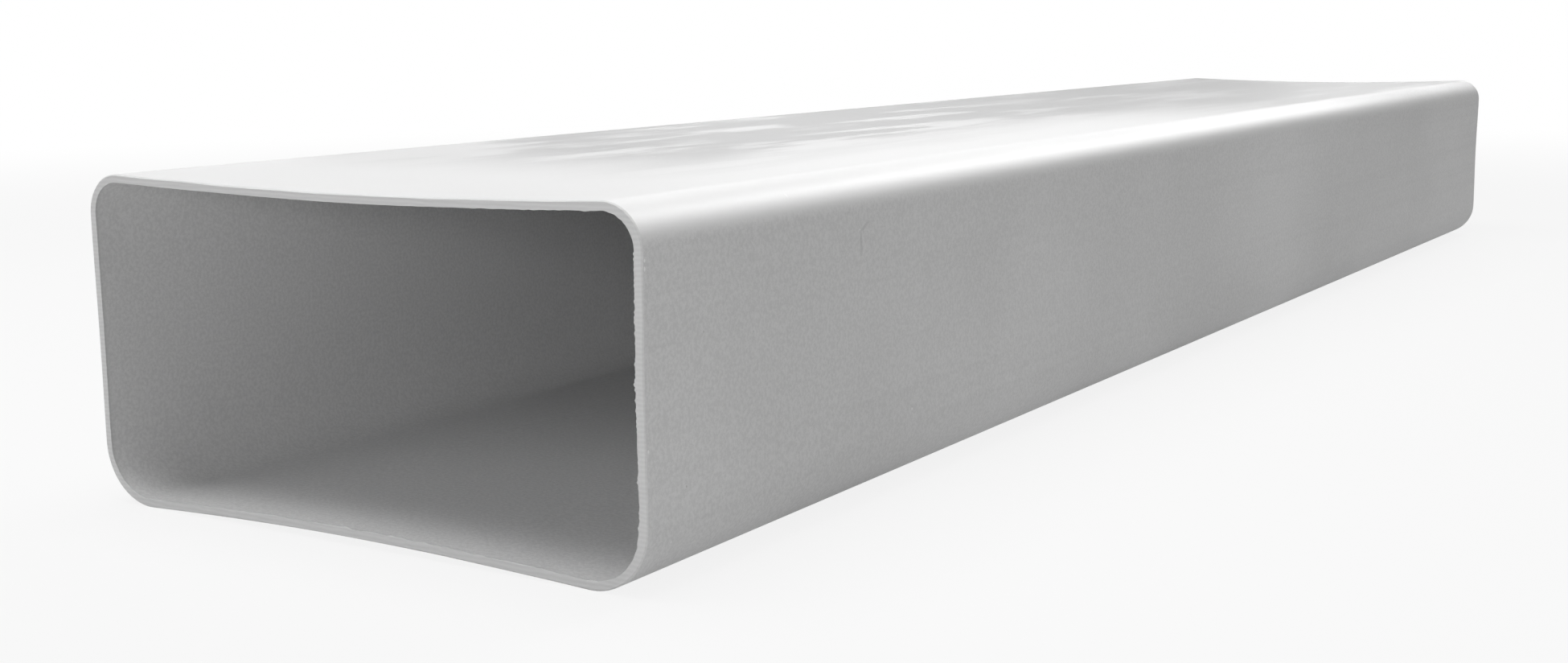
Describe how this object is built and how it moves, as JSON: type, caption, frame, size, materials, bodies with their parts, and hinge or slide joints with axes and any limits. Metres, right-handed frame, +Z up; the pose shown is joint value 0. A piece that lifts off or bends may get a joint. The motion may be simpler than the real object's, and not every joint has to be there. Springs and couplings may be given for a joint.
{
  "type": "flat channel duct",
  "caption": "Straight length of flat rectangular plastic ventilation channel with rounded long corners and a thin wall, open and sawn square at both ends.",
  "frame": {"origin": "middle of the duct's length and width, on the level of the surface it lies on", "axes": "+Y along the duct's length, +X across its width, +Z up"},
  "size_m": [0.11, 0.5, 0.054],
  "materials": {
    "pvc": "satin extruded light grey PVC"
  },
  "bodies": {
    "root": {"channel_duct": "pvc"}
  },
  "joints": []
}
